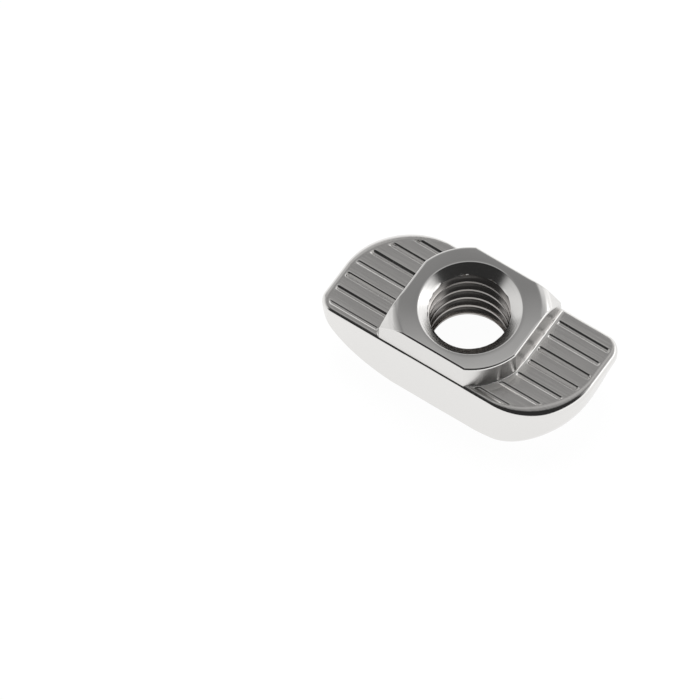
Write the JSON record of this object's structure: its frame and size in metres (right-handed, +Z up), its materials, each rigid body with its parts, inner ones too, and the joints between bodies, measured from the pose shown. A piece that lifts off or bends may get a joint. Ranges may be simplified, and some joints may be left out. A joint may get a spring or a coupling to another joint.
{
  "type": "t slot nut",
  "caption": "Quarter-turn T-slot nut: a domed hammer head with serrated wings, a square-cornered boss and a threaded through hole.",
  "frame": {"origin": "on the thread axis, at the flat underside the nut rests on", "axes": "+Z up the thread axis through the boss, +X along the hammer head, +Y across the slot"},
  "size_m": [0.0172, 0.008, 0.0066],
  "materials": {
    "nickel_plated_steel": "bright nickel plate, polished smooth, with fine turning marks in the countersinks"
  },
  "bodies": {
    "root": {"t_slot_nut": "nickel_plated_steel"}
  },
  "joints": []
}
